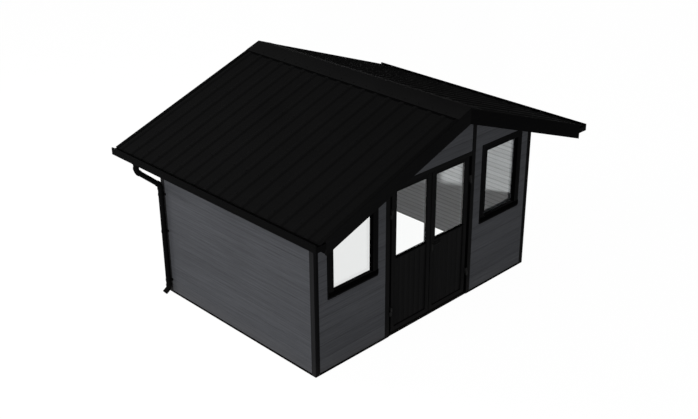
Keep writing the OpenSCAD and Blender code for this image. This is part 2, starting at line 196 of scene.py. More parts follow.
def makeBoardGroup():
    # a tone for each board, and masks of a fine line along its middle and of its edges
    group, given, made = newGroup(
        "boardRows",
        [("Across", "NodeSocketFloat", 0.0), ("First Edge", "NodeSocketFloat", 0.0),
         ("Board Width", "NodeSocketFloat", 0.185), ("Line Place", "NodeSocketFloat", 0.5),
         ("Line Width", "NodeSocketFloat", 0.003), ("Seed", "NodeSocketFloat", 0.0)],
        [("Tone", "NodeSocketFloat"), ("Line", "NodeSocketFloat"), ("Edge", "NodeSocketFloat")])
    fromEdge = calculate(group, "SUBTRACT", given["Across"], given["First Edge"])
    count = calculate(group, "DIVIDE", fromEdge, given["Board Width"])
    row = calculate(group, "ADD", calculate(group, "FLOOR", count), given["Seed"])
    tone = addNode(group, "ShaderNodeTexWhiteNoise", {"W": row}, noise_dimensions="1D")
    within = calculate(group, "FRACT", count)
    offset = calculate(group, "ABSOLUTE",
                       calculate(group, "SUBTRACT", within, given["Line Place"]))
    far = calculate(group, "MULTIPLY", offset, given["Board Width"])
    ratio = calculate(group, "DIVIDE", far, given["Line Width"])
    line = calculate(group, "SUBTRACT", 1.0, ratio, clamp=True)
    fromMiddle = calculate(group, "ABSOLUTE", calculate(group, "SUBTRACT", within, 0.5))
    edgeFar = calculate(group, "MULTIPLY", calculate(group, "SUBTRACT", 0.5, fromMiddle),
                        given["Board Width"])
    edgeRatio = calculate(group, "DIVIDE", edgeFar, given["Line Width"])
    edgeFade = calculate(group, "MULTIPLY", edgeRatio, 0.35)  # about three lines wide
    edge = calculate(group, "SUBTRACT", 1.0, edgeFade, clamp=True)
    group.links.new(tone.outputs["Value"], made["Tone"])
    group.links.new(line, made["Line"])
    group.links.new(edge, made["Edge"])
    return group


def makeSoilGroup():
    # splashes near the ground
    group, given, made = newGroup(
        "groundSoil",
        [("Vector", "NodeSocketVector", None), ("Color", "NodeSocketColor", (0.1, 0.1, 0.1, 1)),
         ("Soil", "NodeSocketColor", (0.2, 0.18, 0.16, 1)), ("Reach", "NodeSocketFloat", 0.25),
         ("Amount", "NodeSocketFloat", 0.2)],
        [("Color", "NodeSocketColor")])
    height = addNode(group, "ShaderNodeSeparateXYZ", {0: given["Vector"]}).outputs["Z"]
    risen = calculate(group, "DIVIDE", height, given["Reach"])
    low = calculate(group, "SUBTRACT", 1.0, risen, clamp=True)
    splash = addNode(group, "ShaderNodeTexNoise", {"Vector": given["Vector"], "Scale": 14.0,
                                                   "Detail": 5.0, "Roughness": 0.7})
    mask = calculate(group, "MULTIPLY", calculate(group, "MULTIPLY", low, splash.outputs["Fac"]),
                     given["Amount"], clamp=True)
    group.links.new(mixColours(group, mask, given["Color"], given["Soil"]), made["Color"])
    return group


def makeCoatGroup():
    # the orange peel of a baked coat, with a slow drift of tone and gloss
    group, given, made = newGroup(
        "coatSurface",
        [("Vector", "NodeSocketVector", None), ("Peel Scale", "NodeSocketFloat", 350.0),
         ("Drift Scale", "NodeSocketFloat", 1.6)],
        [("Peel", "NodeSocketFloat"), ("Drift", "NodeSocketFloat")])
    peel = addNode(group, "ShaderNodeTexNoise", {
        "Vector": given["Vector"], "Scale": given["Peel Scale"], "Detail": 2.0})
    drift = addNode(group, "ShaderNodeTexNoise", {
        "Vector": given["Vector"], "Scale": given["Drift Scale"], "Detail": 4.0, "Roughness": 0.6})
    group.links.new(peel.outputs["Fac"], made["Peel"])
    group.links.new(drift.outputs["Fac"], made["Drift"])
    return group


grainGroup = makeGrainGroup()
boardGroup = makeBoardGroup()
soilGroup = makeSoilGroup()
coatGroup = makeCoatGroup()


def toneRange(tree, value, low, high, darker, lighter):
    node = addNode(tree, "ShaderNodeMapRange", {"Value": value, "From Min": low, "From Max": high,
                                                "To Min": darker, "To Max": lighter})
    return node.outputs["Result"]


def shade(tree, colour, factor):
    grey = addNode(tree, "ShaderNodeCombineColor", {0: factor, 1: factor, 2: factor}).outputs[0]
    return mixColours(tree, 1.0, colour, grey, "MULTIPLY")


def paintedLightOrShadeTowards(tree, direction, gain):
    # painted light or shade by facing: 1 on faces that look elsewhere, up to 1 + gain on faces that
    # look this way
    normal = addNode(tree, "ShaderNodeNewGeometry").outputs["Normal"]
    facing = addNode(tree, "ShaderNodeVectorMath", {0: normal, 1: direction}, operation="DOT_PRODUCT")
    share = calculate(tree, "MAXIMUM", facing.outputs["Value"], 0.0)
    return calculate(tree, "MULTIPLY_ADD", share, gain, 1.0)


def spread(tree, value, amount):
    # a noise value as a factor around 1
    return toneRange(tree, value, 0.3, 0.7, 1 - amount, 1 + amount)


def makeBoardMaterial(name, look, along):
    # boards that run along X, Y or Z, with their grain along them
    material, tree, shader, place = newMaterial(name, look["roughness"], look["specular"])
    stretch = {"X": (1.4, 60, 95), "Y": (60, 1.4, 95), "Z": (95, 60, 1.4)}[along]
    axes = addNode(tree, "ShaderNodeSeparateXYZ", {0: place}).outputs
    grain = useGroup(tree, grainGroup, {"Vector": place, "Stretch": stretch,
                                        "Fineness": look["fineness"]})
    rows = useGroup(tree, boardGroup, {
        "Across": axes["X" if along == "Z" else "Z"], "First Edge": look["firstEdge"],
        "Board Width": look["boardWidth"], "Line Place": look["linePlace"],
        "Line Width": look["lineWidth"], "Seed": look["seed"]})
    streak = spread(tree, grain["Streaks"], look["streaks"])
    fibre = spread(tree, grain["Fibre"], look["fibre"])
    patch = spread(tree, grain["Patches"], look["patches"])
    board = toneRange(tree, rows["Tone"], 0, 1, 1 - look["boardTone"], 1 + look["boardTone"])
    line = toneRange(tree, rows["Line"], 0, 1, 1, 1 - look["lineShade"])
    edge = toneRange(tree, rows["Edge"], 0, 1, 1, 1 - look["edgeShade"])
    factor = streak
    for part in (fibre, patch, board, line, edge):
        factor = calculate(tree, "MULTIPLY", factor, part)
    # fitted tones of painted light, not wear: faces that look left or up can be lighter than the rest
    for gain, direction in (("leftPaintedLight", (-1, 0, 0)), ("upPaintedLight", (0, 0, 1))):
        if look[gain]:
            factor = calculate(tree, "MULTIPLY", factor, paintedLightOrShadeTowards(tree, direction, look[gain]))
    colour = shade(tree, look["colour"], factor)
    soiled = useGroup(tree, soilGroup, {"Vector": place, "Color": colour, "Amount": look["soil"]})
    tree.links.new(soiled["Color"], shader.inputs["Base Color"])
    rough = toneRange(tree, grain["Fibre"], 0.3, 0.7, look["roughness"] - look["roughSpread"],
                      look["roughness"] + look["roughSpread"])
    tree.links.new(rough, shader.inputs["Roughness"])
    height = calculate(tree, "ADD", calculate(tree, "MULTIPLY", grain["Fibre"], look["fibreHeight"]),
                       grain["Streaks"])
    height = calculate(tree, "SUBTRACT", height,
                       calculate(tree, "MULTIPLY", rows["Line"], look["lineDepth"]))
    bump = addNode(tree, "ShaderNodeBump", {"Strength": look["bump"], "Distance": look["bumpHeight"],
                                            "Height": height})
    tree.links.new(bump.outputs[0], shader.inputs["Normal"])
    return material


outerBoards = {
    "colour": (0.0640, 0.0660, 0.0722, 1), "roughness": 0.8, "specular": 0.01, "fineness": 1.0,
    "firstEdge": 0.025, "boardWidth": 0.1855, "linePlace": 0.53, "lineWidth": 0.004, "seed": 3.0,
    "streaks": 0.2, "fibre": 0.12, "patches": 0.05, "boardTone": 0.05, "lineShade": 0.12,
    "edgeShade": 0.08, "lineDepth": 1.0, "bump": 0.5, "bumpHeight": 0.0012, "fibreHeight": 0.35,
    "roughSpread": 0.08, "soil": 0.1, "leftPaintedLight": 0.0, "upPaintedLight": 0.0,
}
innerBoards = dict(outerBoards, colour=(0.86, 0.87, 0.89, 1), streaks=0.08, fibre=0.05,
                   boardWidth=0.06183, specular=0.1, lineShade=0.0, edgeShade=0.36, soil=0.05)
doorBoards = dict(outerBoards, colour=(0.0088, 0.0088, 0.0090, 1), roughness=0.7, specular=0.004,
                  streaks=0.12, fibre=0.1, lineShade=0.0, edgeShade=0.25, lineDepth=0.0, soil=0.02,
                  boardWidth=0.0913, firstEdge=0.0, seed=11.0)
darkTimber = dict(outerBoards, colour=(0.0068, 0.0068, 0.0070, 1), roughness=0.6, specular=0.004,
                  streaks=0.12, fibre=0.1, boardTone=0.0, lineShade=0.0, edgeShade=0.0,
                  lineDepth=0.0, soil=0.03, seed=5.0)
# painted light: the corner posts' faces that look left are up to 3.9 times lighter
cornerTimber = dict(darkTimber, colour=(0.0042, 0.0042, 0.0044, 1), leftPaintedLight=2.9, seed=6.0)
# painted light: the window frames' faces that look up are up to 4 times lighter
frameTimber = dict(darkTimber, colour=(0.0042, 0.0042, 0.0044, 1), specular=0.003, seed=7.0,
                   upPaintedLight=3.0)
baseTimber = dict(darkTimber, colour=(0.0014, 0.0014, 0.0015, 1), seed=15.0)
bargeTimber = dict(darkTimber, colour=(0.0036, 0.0036, 0.0038, 1), specular=0.001, seed=9.0)
# painted light: the left bargeboards take a lighter copy of the barge paint
leftBargeLitTimber = dict(bargeTimber, colour=(0.0062, 0.0062, 0.0064, 1))
deckBoards = dict(innerBoards, colour=(0.07, 0.07, 0.072, 1), boardWidth=0.0325, firstEdge=0.0,
                  seed=41.0)

outerAlongX = makeBoardMaterial("outerBoardsAlongX", outerBoards, "X")
outerAlongY = makeBoardMaterial("outerBoardsAlongY", dict(outerBoards, seed=23.0, edgeShade=0.0),
                                "Y")
innerAlongX = makeBoardMaterial("innerBoardsAlongX", innerBoards, "X")
innerAlongY = makeBoardMaterial("innerBoardsAlongY", dict(innerBoards, seed=31.0), "Y")
doorPanelPaint = makeBoardMaterial("doorBoardPaint", doorBoards, "Z")
uprightPaint = makeBoardMaterial("uprightTimberPaint", darkTimber, "Z")
cornerPaint = makeBoardMaterial("cornerPostPaint", cornerTimber, "Z")
railPaintX = makeBoardMaterial("railTimberPaintX", darkTimber, "X")
railPaintY = makeBoardMaterial("railTimberPaintY", darkTimber, "Y")
windowPaint = makeBoardMaterial("windowFramePaint", frameTimber, "Z")
bargePaint = makeBoardMaterial("bargeBoardPaint", bargeTimber, "X")
bargePaintLeftLit = makeBoardMaterial("leftBargeLitPaint", leftBargeLitTimber, "X")
fasciaPaint = makeBoardMaterial("fasciaPaint", bargeTimber, "Y")
basePaint = makeBoardMaterial("baseRailPaint", baseTimber, "X")
deckPaint = makeBoardMaterial("roofDeckBoards", deckBoards, "Y")


def makeSteelMaterial(name, look):
    # factory-coated steel sheet
    material, tree, shader, place = newMaterial(name, look["roughness"], look["specular"])
    coat = useGroup(tree, coatGroup, {"Vector": place, "Peel Scale": look["peelScale"]})
    drift = spread(tree, coat["Drift"], look["drift"])
    if look["frontPaintedShade"]:
        # a fitted tone of painted shade, not wear: faces that look to the front are darker
        drift = calculate(tree, "MULTIPLY", drift, paintedLightOrShadeTowards(tree, (0, -1, 0), -look["frontPaintedShade"]))
    soiled = useGroup(tree, soilGroup, {"Vector": place, "Color": shade(tree, look["colour"], drift),
                                        "Amount": look["soil"]})
    tree.links.new(soiled["Color"], shader.inputs["Base Color"])
    rough = toneRange(tree, coat["Drift"], 0.3, 0.7, look["roughness"] - look["roughSpread"],
                      look["roughness"] + look["roughSpread"])
    tree.links.new(rough, shader.inputs["Roughness"])
    bump = addNode(tree, "ShaderNodeBump", {"Strength": look["bump"], "Distance": look["bumpHeight"],
                                            "Height": coat["Peel"]})
    tree.links.new(bump.outputs[0], shader.inputs["Normal"])
    return material


roofCoat = {
    "colour": (0.0074, 0.0074, 0.0075, 1), "roughness": 0.7, "roughSpread": 0.07, "specular": 0.001,
    "peelScale": 420.0, "drift": 0.08, "bump": 0.2, "bumpHeight": 0.0003, "soil": 0.0,
    "frontPaintedShade": 0.0,
}
# painted light: the right slope takes a lighter copy of the left slope's coat
rightRoofCoat = dict(roofCoat, colour=(0.0084, 0.0084, 0.0085, 1), frontPaintedShade=0.5)
capCoat = dict(roofCoat, colour=(0.0086, 0.0086, 0.0087, 1))
vergeCoat = dict(roofCoat, colour=(0.0050, 0.0050, 0.0051, 1))
gutterCoat = dict(roofCoat, colour=(0.0030, 0.0030, 0.0031, 1), specular=0.005, roughness=0.55)
pipeCoat = dict(gutterCoat, specular=0.008, soil=0.04)
leverCoat = dict(roofCoat, colour=(0.006, 0.006, 0.006, 1), specular=0.01, roughness=0.45)
# near-black for seals and for painted shade in gaps and recesses
sealAndShadeCoat = dict(roofCoat, colour=(0.0010, 0.0010, 0.0011, 1), roughness=0.8, peelScale=900.0)

# painted shade: on both slopes the rib sides that face the front are darker
roofSteel = {"left": makeSteelMaterial("roofCoatLeft", dict(roofCoat, frontPaintedShade=0.45)),
             "right": makeSteelMaterial("roofCoatRight", rightRoofCoat)}
capSteel = makeSteelMaterial("ridgeCapCoat", capCoat)
vergeSteel = makeSteelMaterial("vergeCoat", vergeCoat)
gutterSteel = makeSteelMaterial("gutterCoat", gutterCoat)
pipeSteel = makeSteelMaterial("downpipeCoat", pipeCoat)
handleCoat = makeSteelMaterial("handleCoat", leverCoat)
sealAndPaintedShade = makeSteelMaterial("sealAndPaintedShade", sealAndShadeCoat)
fillerFoamAndShade = makeSteelMaterial("fillerFoamAndShade", dict(sealAndShadeCoat, colour=(0.0020, 0.0020, 0.0021, 1)))
panelLiningShade = makeSteelMaterial("panelLiningShade", dict(sealAndShadeCoat, colour=(0.0034, 0.0034, 0.0035, 1)))

hingeLook = {"colour": (0.008, 0.008, 0.008, 1), "roughness": 0.5, "specular": 0.03, "metallic": 0.1,
             "brush": (900, 900, 30), "tone": (0.8, 1.15), "roughRange": (0.42, 0.58),
             "bump": 0.15, "bumpHeight": 0.0002}


def makeHingeMaterial(look):
    # dark steel, brushed along the barrels
    material, tree, shader, place = newMaterial("hingeSteel", look["roughness"], look["specular"])
    shader.inputs["Metallic"].default_value = look["metallic"]
    brushed = addNode(tree, "ShaderNodeMapping", {"Vector": place, "Scale": look["brush"]}).outputs[0]
    scratch = addNode(tree, "ShaderNodeTexNoise", {"Vector": brushed, "Scale": 1.0, "Detail": 3.0})
    tone = toneRange(tree, scratch.outputs["Fac"], 0.3, 0.7, *look["tone"])
    tree.links.new(shade(tree, look["colour"], tone), shader.inputs["Base Color"])
    rough = toneRange(tree, scratch.outputs["Fac"], 0.3, 0.7, *look["roughRange"])
    tree.links.new(rough, shader.inputs["Roughness"])
    bump = addNode(tree, "ShaderNodeBump", {"Strength": look["bump"], "Distance": look["bumpHeight"],
                                            "Height": scratch.outputs["Fac"]})
    tree.links.new(bump.outputs[0], shader.inputs["Normal"])
    return material


# the index and the tints are fitted, below those of real glass
glassLook = {"roughness": 0.0, "specular": 0.5, "index": 1.33, "smearScale": 6.0,
             "smearRoughness": 0.03, "shadowTint": (0.96, 0.97, 0.965, 1),
             "diffuseTint": (0.55, 0.56, 0.57, 1)}


def makeGlassMaterial(name, colour, look):
    # clear panes that let shadow rays through, with faint smears
    material, tree, shader, place = newMaterial(name, look["roughness"], look["specular"])
    shader.inputs["Base Color"].default_value = colour
    shader.inputs["Transmission Weight"].default_value = 1.0
    shader.inputs["IOR"].default_value = look["index"]
    smear = addNode(tree, "ShaderNodeTexNoise", {"Vector": place, "Scale": look["smearScale"],
                                                 "Detail": 5.0})
    rough = toneRange(tree, smear.outputs["Fac"], 0.45, 0.75, look["roughness"], look["smearRoughness"])
    tree.links.new(rough, shader.inputs["Roughness"])
    rays = addNode(tree, "ShaderNodeLightPath").outputs
    tint = mixColours(tree, rays["Is Diffuse Ray"], look["shadowTint"], look["diffuseTint"])
    clear = addNode(tree, "ShaderNodeBsdfTransparent", {"Color": tint})
    passes = calculate(tree, "MAXIMUM", rays["Is Shadow Ray"], rays["Is Diffuse Ray"])
    mixed = addNode(tree, "ShaderNodeMixShader",
                    {0: passes, 1: shader.outputs[0], 2: clear.outputs[0]})
    tree.links.new(mixed.outputs[0], tree.nodes["Material Output"].inputs["Surface"])
    return material


hingeSteel = makeHingeMaterial(hingeLook)
doorGlass = makeGlassMaterial("doorGlass", (0.97, 0.98, 0.975, 1), glassLook)
windowGlass = makeGlassMaterial("windowGlass", (0.81, 0.82, 0.815, 1), glassLook)
print("materials made")


def wholeCopy(node):
    # the node's solid as a closed mesh with its flat faces joined up
    mesh = cadNodes[node].data.copy()
    solid = bmesh.new()
    solid.from_mesh(mesh)
    bmesh.ops.remove_doubles(solid, verts=solid.verts, dist=0.00001)
    bmesh.ops.dissolve_limit(solid, angle_limit=math.radians(0.5), verts=solid.verts,
                             edges=solid.edges)
    solid.to_mesh(mesh)
    solid.free()
    return mesh


def addPiece(name, mesh, body):
    piece = bpy.data.objects.new(name, mesh)
    scene.collection.objects.link(piece)
    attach(piece, body)
    return piece


def softened(node, width, body, material, segments=2, roundFrom=25, flatFrom=30):
    # a copy of the node's solid with its sharp edges rounded; both angles are in degrees
    mesh = wholeCopy(node)
    solid = bmesh.new()
    solid.from_mesh(mesh)
    sharp = [edge for edge in solid.edges
             if len(edge.link_faces) == 2 and edge.calc_face_angle(0) > math.radians(roundFrom)]
    bmesh.ops.bevel(solid, geom=sharp, offset=width, segments=segments, profile=0.5,
                    affect="EDGES", clamp_overlap=True)
    for face in solid.faces:
        face.smooth = True
    solid.to_mesh(mesh)
    solid.free()
    mesh.set_sharp_from_angle(angle=math.radians(flatFrom))
    mesh.materials.clear()
    mesh.materials.append(material)
    piece = addPiece(node + "_piece", mesh, body)
    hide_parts(node)
    return piece


def lineFaces(piece, material, wanted):
    # gives the faces that pass the test a second material
    mesh = piece.data
    mesh.materials.append(material)
    for face in mesh.polygons:
        if wanted(face.center, face.normal):
            face.material_index = len(mesh.materials) - 1


def addStrips(name, boxes, bevel, body, material):
    # bevelled bars, given by their lowest and highest corners
    solid = bmesh.new()
    for low, high in boxes:
        low, high = Vector(low), Vector(high)
        place = Matrix.LocRotScale((low + high) / 2, None, high - low)
        bmesh.ops.create_cube(solid, size=1.0, matrix=place)
    bmesh.ops.bevel(solid, geom=list(solid.edges), offset=bevel, segments=2, profile=0.5,
                    affect="EDGES")
    return finishPiece(name, solid, body, material)


def addRing(name, low, high, profile, body, material):
    # a mitred frame that faces the front; the profile gives inset and Y
    solid = bmesh.new()
    loops = []
    for x, z, rightwards, upwards in ((low[0], low[2], 1, 1), (high[0], low[2], -1, 1),
                                      (high[0], high[2], -1, -1), (low[0], high[2], 1, -1)):
        loops.append([solid.verts.new((x + rightwards * inset, y, z + upwards * inset))
                      for inset, y in profile])
    for corner in range(4):
        here, there = loops[corner], loops[(corner + 1) % 4]
        for index in range(len(profile)):
            after = (index + 1) % len(profile)
            solid.faces.new((here[index], here[after], there[after], there[index]))
    bmesh.ops.recalc_face_normals(solid, faces=solid.faces)
    return finishPiece(name, solid, body, material)


def finishPiece(name, solid, body, material):
    for face in solid.faces:
        face.smooth = True
    mesh = bpy.data.meshes.new(name)
    solid.to_mesh(mesh)
    solid.free()
    mesh.set_sharp_from_angle(angle=math.radians(30))
    mesh.materials.append(material)
    return addPiece(name, mesh, body)


def paint(node, material):
    mesh = cadNodes[node].data
    mesh.materials.clear()
    mesh.materials.append(material)


def newGeometryTree(name, inputs):
    tree = bpy.data.node_groups.new(name, "GeometryNodeTree")
    tree.interface.new_socket("Geometry", in_out="INPUT", socket_type="NodeSocketGeometry")
    for label, kind in inputs:
        tree.interface.new_socket(label, in_out="INPUT", socket_type=kind)
    tree.interface.new_socket("Geometry", in_out="OUTPUT", socket_type="NodeSocketGeometry")
    return tree, tree.nodes.new("NodeGroupInput").outputs, tree.nodes.new("NodeGroupOutput").inputs


def runTree(mesh, tree, values):
    # gives the tree's result for this mesh as a plain mesh
    holder = bpy.data.objects.new("holder", mesh)
    scene.collection.objects.link(holder)
    modifier = holder.modifiers.new("shape", "NODES")
    modifier.node_group = tree
    for item in tree.interface.items_tree:
        if item.item_type == "SOCKET" and item.in_out == "INPUT" and item.name in values:
            modifier[item.identifier] = values[item.name]
    bpy.context.view_layer.update()
    graph = bpy.context.evaluated_depsgraph_get()
    made = bpy.data.meshes.new_from_object(holder.evaluated_get(graph), depsgraph=graph)
    holder.modifiers.remove(modifier)
    bpy.data.objects.remove(holder)
    return made


def makeBoardTree():
    # cuts a row of bevelled boards to the outline of the solid that comes in
    tree, given, made = newGeometryTree("boardRow", [
        ("Board Width", "NodeSocketFloat"), ("Board Length", "NodeSocketFloat"),
        ("Thickness", "NodeSocketFloat"), ("Joint Gap", "NodeSocketFloat"),
        ("Bevel", "NodeSocketFloat"), ("Count", "NodeSocketInt"), ("First", "NodeSocketVector"),
        ("Step", "NodeSocketVector"), ("Turn", "NodeSocketVector"), ("Material", "NodeSocketMaterial")])
    height = addNode(tree, "ShaderNodeMath", {0: given["Board Width"], 1: given["Joint Gap"]},
                     operation="SUBTRACT").outputs[0]
    section = addNode(tree, "GeometryNodeCurvePrimitiveQuadrilateral",
                      {"Width": given["Thickness"], "Height": height}).outputs[0]
    bevelled = addNode(tree, "GeometryNodeFilletCurve", {"Curve": section, "Radius": given["Bevel"],
                                                         "Count": 1}, mode="POLY")
    half = addNode(tree, "ShaderNodeMath", {0: given["Board Length"], 1: 0.5},
                   operation="MULTIPLY").outputs[0]
    minus = addNode(tree, "ShaderNodeMath", {0: half, 1: -1.0}, operation="MULTIPLY").outputs[0]
    start = addNode(tree, "ShaderNodeCombineXYZ", {"Z": minus}).outputs[0]
    end = addNode(tree, "ShaderNodeCombineXYZ", {"Z": half}).outputs[0]
    run = addNode(tree, "GeometryNodeCurvePrimitiveLine", {"Start": start, "End": end}).outputs[0]
    board = addNode(tree, "GeometryNodeCurveToMesh", {
        "Curve": run, "Profile Curve": bevelled.outputs[0], "Fill Caps": True}).outputs[0]
    points = addNode(tree, "GeometryNodeMeshLine", {
        "Count": given["Count"], "Start Location": given["First"],
        "Offset": given["Step"]}).outputs[0]
    boards = addNode(tree, "GeometryNodeInstanceOnPoints", {"Points": points, "Instance": board,
                                                            "Rotation": given["Turn"]}).outputs[0]
    real = addNode(tree, "GeometryNodeRealizeInstances", {"Geometry": boards}).outputs[0]
    cut = addNode(tree, "GeometryNodeMeshBoolean", operation="INTERSECT", solver="EXACT")
    tree.links.new(given["Geometry"], cut.inputs["Mesh 2"])
    tree.links.new(real, cut.inputs["Mesh 2"])
    painted = addNode(tree, "GeometryNodeSetMaterial", {"Geometry": cut.outputs["Mesh"],
                                                        "Material": given["Material"]})
    tree.links.new(painted.outputs[0], made["Geometry"])
    return tree


def makeScrewTree():
    # a six-sided head on a coned washer at each point that comes in
    tree, given, made = newGeometryTree("screwHeads", [
        ("Head Radius", "NodeSocketFloat"), ("Head Height", "NodeSocketFloat"),
        ("Washer Radius", "NodeSocketFloat"), ("Washer Height", "NodeSocketFloat"),
        ("Turn", "NodeSocketVector"), ("Seed", "NodeSocketInt"), ("Material", "NodeSocketMaterial")])
    head = addNode(tree, "GeometryNodeMeshCylinder", {
        "Vertices": 6, "Radius": given["Head Radius"], "Depth": given["Head Height"]}).outputs["Mesh"]
    halfHead = addNode(tree, "ShaderNodeMath", {0: given["Head Height"], 1: 0.5},
                       operation="MULTIPLY").outputs[0]
    rise = addNode(tree, "ShaderNodeMath", {0: halfHead, 1: given["Washer Height"]},
                   operation="ADD").outputs[0]
    lift = addNode(tree, "ShaderNodeCombineXYZ", {"Z": rise}).outputs[0]
    raised = addNode(tree, "GeometryNodeTransform", {"Geometry": head, "Translation": lift}).outputs[0]
    washer = addNode(tree, "GeometryNodeMeshCone", {
        "Vertices": 12, "Radius Top": given["Head Radius"], "Radius Bottom": given["Washer Radius"],
        "Depth": given["Washer Height"]}).outputs["Mesh"]
    joined = tree.nodes.new("GeometryNodeJoinGeometry")
    tree.links.new(washer, joined.inputs[0])
    tree.links.new(raised, joined.inputs[0])
    placed = addNode(tree, "GeometryNodeInstanceOnPoints", {
        "Points": given["Geometry"], "Instance": joined.outputs[0],
        "Rotation": given["Turn"]}).outputs[0]
    twist = addNode(tree, "FunctionNodeRandomValue", {
        0: (0, 0, 0), 1: (0, 0, 1.05), "Seed": given["Seed"]}, data_type="FLOAT_VECTOR").outputs[0]
    twisted = addNode(tree, "GeometryNodeRotateInstances", {
        "Instances": placed, "Rotation": twist}).outputs[0]
    real = addNode(tree, "GeometryNodeRealizeInstances", {"Geometry": twisted}).outputs[0]
    painted = addNode(tree, "GeometryNodeSetMaterial", {
        "Geometry": real, "Material": given["Material"]})
    tree.links.new(painted.outputs[0], made["Geometry"])
    return tree


screwTree = makeScrewTree()


def addScrews(name, points, look, turn, seed, body, material):
    places = bpy.data.meshes.new(name + "_places")
    places.from_pydata(points, [], [])
    mesh = runTree(places, screwTree, {
        "Head Radius": look["head"] / 2, "Head Height": look["headHeight"],
        "Washer Radius": look["washer"] / 2, "Washer Height": look["washerHeight"],
        "Turn": turn, "Seed": seed, "Material": material})
    mesh.materials.clear()
    mesh.materials.append(material)
    print(name, len(points), "screws")
    return addPiece(name, mesh, body)


boardTree = makeBoardTree()
wallBoards = {"width": 0.1855, "firstEdge": 0.025, "bevel": 0.002, "gap": 0.0003, "count": 16,
              "spareLength": 0.2, "insideShare": 0.2}
sideBoards = dict(wallBoards, bevel=0.0012)
panelBoards = dict(wallBoards, bevel=0.001, count=6)


def boardedPiece(node, body, along, outside, inside, look):
    low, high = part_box(node)
    middle = (Vector(low) + Vector(high)) / 2
    size = Vector(high) - Vector(low)
    quarter = math.pi / 2
    turn = {"X": (quarter, 0, quarter), "Y": (quarter, 0, 0), "Z": (0, 0, quarter)}[along]
    thickness = size.x if along == "Y" else size.y
    first = middle.copy()
    if along == "Z":
        first.x = look["firstEdge"] + look["width"] / 2
        step = (look["width"], 0, 0)
    else:
        first.z = look["firstEdge"] + look["width"] / 2
        step = (0, 0, look["width"])
    mesh = runTree(wholeCopy(node), boardTree, {
        "Board Width": look["width"], "Board Length": max(size) + look["spareLength"],
        "Thickness": thickness,
        "Joint Gap": look["gap"], "Bevel": look["bevel"], "Count": look["count"],
        "First": first, "Step": step, "Turn": turn, "Material": outside})
    mesh.materials.clear()
    mesh.materials.append(outside)
    if inside:
        # faces behind the wall's middle take the inside finish
        mesh.materials.append(inside)
        axis = 0 if along == "Y" else 1
        inwards = 1 if middle[axis] < 0 else -1
        for face in mesh.polygons:
            if (face.center[axis] - middle[axis]) * inwards > thickness * look["insideShare"]:
                face.material_index = 1
    piece = addPiece(node + "_boards", mesh, body)
    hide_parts(node)
    print(node, "boards:", len(mesh.polygons), "faces")


for wall in ("left_wall", "right_wall"):
    boardedPiece(wall, "shed", "Y", outerAlongY, innerAlongY, sideBoards)
for wall in ("back_wall", "front_wall_left", "front_wall_right", "front_gable"):
    boardedPiece(wall, "shed", "X", outerAlongX, innerAlongX, wallBoards)
print("walls boarded")

# profiles give the inset from the ring's outline, then Y from the face that carries the ring
leafDetail = {
    "frameEdge": 0.002, "beadWidth": 0.022, "beadRise": 0.005, "sink": 0.0005,
    "bead": [(0, 0.0005), (0, -0.003), (0.003, -0.005), (0.012, -0.005), (0.0215, 0),
             (0.0215, 0.0005)],
    "lining": [(0, 0.0002), (0, -0.0125), (0.0015, -0.0125), (0.0028, -0.002), (0.007, -0.0012),
               (0.007, 0.0002)],
    "gasket": 0.004, "gasketShoulder": 0.0024, "gasketLip": 0.001, "gasketSlope": 0.0015,
    "dripHeight": 0.018, "dripOverhang": 0.012, "dripRise": 0.001, "dripGap": 0.001,
    "dripEdge": 0.0012,
}
windowDetail = {
    "frameEdge": 0.003, "beadEdge": 0.002, "sink": 0.0005, "sashInset": 0.03, "sashRise": 0.006,
    "sashLip": 0.0015, "sashCorner": 0.002, "rebateWidth": 0.022, "glassMargin": 0.004,
    "barLow": 0.028, "barHigh": 0.088, "barSide": 0.002, "barRise": 0.002, "barEdge": 0.0015,
    "sealant": 0.004, "sealantSink": 0.0003,
}
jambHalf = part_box("door_head")[1][0]
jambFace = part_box("hinge_pins")[1][1]


def isSide(place, normal, *where):
    # whether a face looks sideways and lies at one of these distances from the middle
    return abs(normal.x) > 0.9 and any(abs(abs(place.x) - x) < 0.001 for x in where)


def fromFace(plane, profile):
    return [(inset, plane + rise) for inset, rise in profile]


def dressLeaf(side, look):
    body = side + "_leaf"
    low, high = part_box(body + "_panel")
    boards = dict(panelBoards, width=(high[0] - low[0]) / panelBoards["count"], firstEdge=low[0])
    boardedPiece(body + "_panel", body, "Z", doorPanelPaint, None, boards)
    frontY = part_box(body + "_frame")[0][1]
    frame = softened(body + "_frame", look["frameEdge"], body, uprightPaint)
    edges = [abs(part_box(body + "_frame")[end][0]) for end in (0, 1)]
    # the frame's outer side faces are black: painted shade in the gaps beside the leaf
    lineFaces(frame, sealAndPaintedShade, lambda place, normal: isSide(place, normal, *edges))
    # a dark lining round the panel: a small moulding and painted shade at the panel's edges
    addRing(body + "_panel_lining", low, high, fromFace(low[1], look["lining"]), body,
            panelLiningShade)
    low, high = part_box(body + "_glass")
    wide = Vector((look["beadWidth"], 0, look["beadWidth"]))
    addRing(body + "_glazing_bead", Vector(low) - wide, Vector(high) + wide,
            fromFace(frontY, look["bead"]), body, uprightPaint)
    # the gasket runs from the glass to the face of the frame
    addRing(body + "_glass_gasket", low, high,
            [(-look["sink"], low[1]), (-look["sink"], frontY + look["gasketLip"]),
             (look["gasketShoulder"], frontY + 2 * look["gasketLip"]),
             (look["gasket"], low[1] - look["gasketSlope"]), (look["gasket"], low[1])],
            body, sealAndPaintedShade)
    # a black drip seal under the glass: seal and painted shade under the glass in one
    front = frontY - look["beadRise"] - look["dripRise"]
    addStrips(body + "_drip_seal",
              [((low[0] - look["dripOverhang"], front, low[2] - look["dripHeight"]),
                (high[0] + look["dripOverhang"], frontY + look["sink"], low[2] - look["dripGap"]))],
              look["dripEdge"], body, sealAndPaintedShade)


